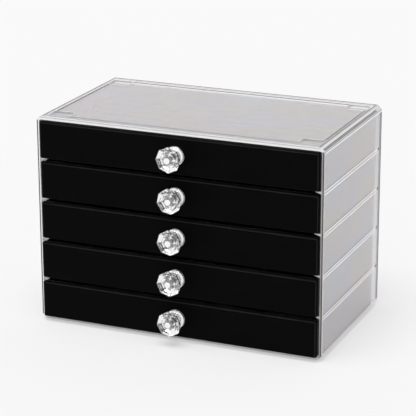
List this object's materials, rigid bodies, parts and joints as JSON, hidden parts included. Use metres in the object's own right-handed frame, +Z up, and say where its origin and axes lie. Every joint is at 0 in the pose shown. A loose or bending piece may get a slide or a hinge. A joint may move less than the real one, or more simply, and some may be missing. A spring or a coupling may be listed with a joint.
{
  "type": "jewellery display case",
  "caption": "Clear box-shaped case of velvet drawers, each sliding forward on rails in its side walls and pulled by a faceted clear knob; corner pockets on top let cases stack.",
  "frame": {"origin": "middle of the whole part's footprint, knobs included, on the surface that the feet stand on", "axes": "+X to the right of someone facing the drawers, +Y from the drawer fronts to the back, +Z up"},
  "size_m": [0.235, 0.1504, 0.1663],
  "materials": {
    "case_clear": "clear moulded polystyrene, polished",
    "knob_clear": "clear acrylic, faceted and polished",
    "front_velvet": "black velvet wrapped round a board, short pile",
    "tray_velvet": "black flock on a moulded tray",
    "liner_velvet": "black velvet over thin foam",
    "insert_velvet": "black velvet wrapped round card walls",
    "ring_roll_velvet": "black velvet over soft foam",
    "screw_steel": "bright zinc plated steel"
  },
  "bodies": {
    "case": {"case_shell": "case_clear", "back_panel": "case_clear"},
    "drawer_1": {"front_1": "front_velvet", "tray_1": "tray_velvet", "knob_1": "knob_clear", "screw_1": "screw_steel", "liner_1": "liner_velvet", "insert_1": "insert_velvet"},
    "drawer_2": {"front_2": "front_velvet", "tray_2": "tray_velvet", "knob_2": "knob_clear", "screw_2": "screw_steel", "liner_2": "liner_velvet", "insert_2": "insert_velvet"},
    "drawer_3": {"front_3": "front_velvet", "tray_3": "tray_velvet", "knob_3": "knob_clear", "screw_3": "screw_steel", "liner_3": "liner_velvet", "insert_3": "insert_velvet"},
    "drawer_4": {"front_4": "front_velvet", "tray_4": "tray_velvet", "knob_4": "knob_clear", "screw_4": "screw_steel", "liner_4": "liner_velvet", "insert_4": "insert_velvet"},
    "drawer_5": {"front_5": "front_velvet", "tray_5": "tray_velvet", "knob_5": "knob_clear", "screw_5": "screw_steel", "liner_5": "liner_velvet", "ring_roll_1": "ring_roll_velvet", "ring_roll_2": "ring_roll_velvet", "ring_roll_3": "ring_roll_velvet", "ring_roll_4": "ring_roll_velvet", "ring_roll_5": "ring_roll_velvet", "ring_roll_6": "ring_roll_velvet", "ring_roll_7": "ring_roll_velvet", "ring_roll_8": "ring_roll_velvet"}
  },
  "joints": [
    {"name": "drawer_1_slide", "type": "slide", "parent": "case", "child": "drawer_1", "axis": [0, -1, 0], "range_m": [0, 0.095]},
    {"name": "drawer_2_slide", "type": "slide", "parent": "case", "child": "drawer_2", "axis": [0, -1, 0], "range_m": [0, 0.095]},
    {"name": "drawer_3_slide", "type": "slide", "parent": "case", "child": "drawer_3", "axis": [0, -1, 0], "range_m": [0, 0.095]},
    {"name": "drawer_4_slide", "type": "slide", "parent": "case", "child": "drawer_4", "axis": [0, -1, 0], "range_m": [0, 0.095]},
    {"name": "drawer_5_slide", "type": "slide", "parent": "case", "child": "drawer_5", "axis": [0, -1, 0], "range_m": [0, 0.095]}
  ]
}
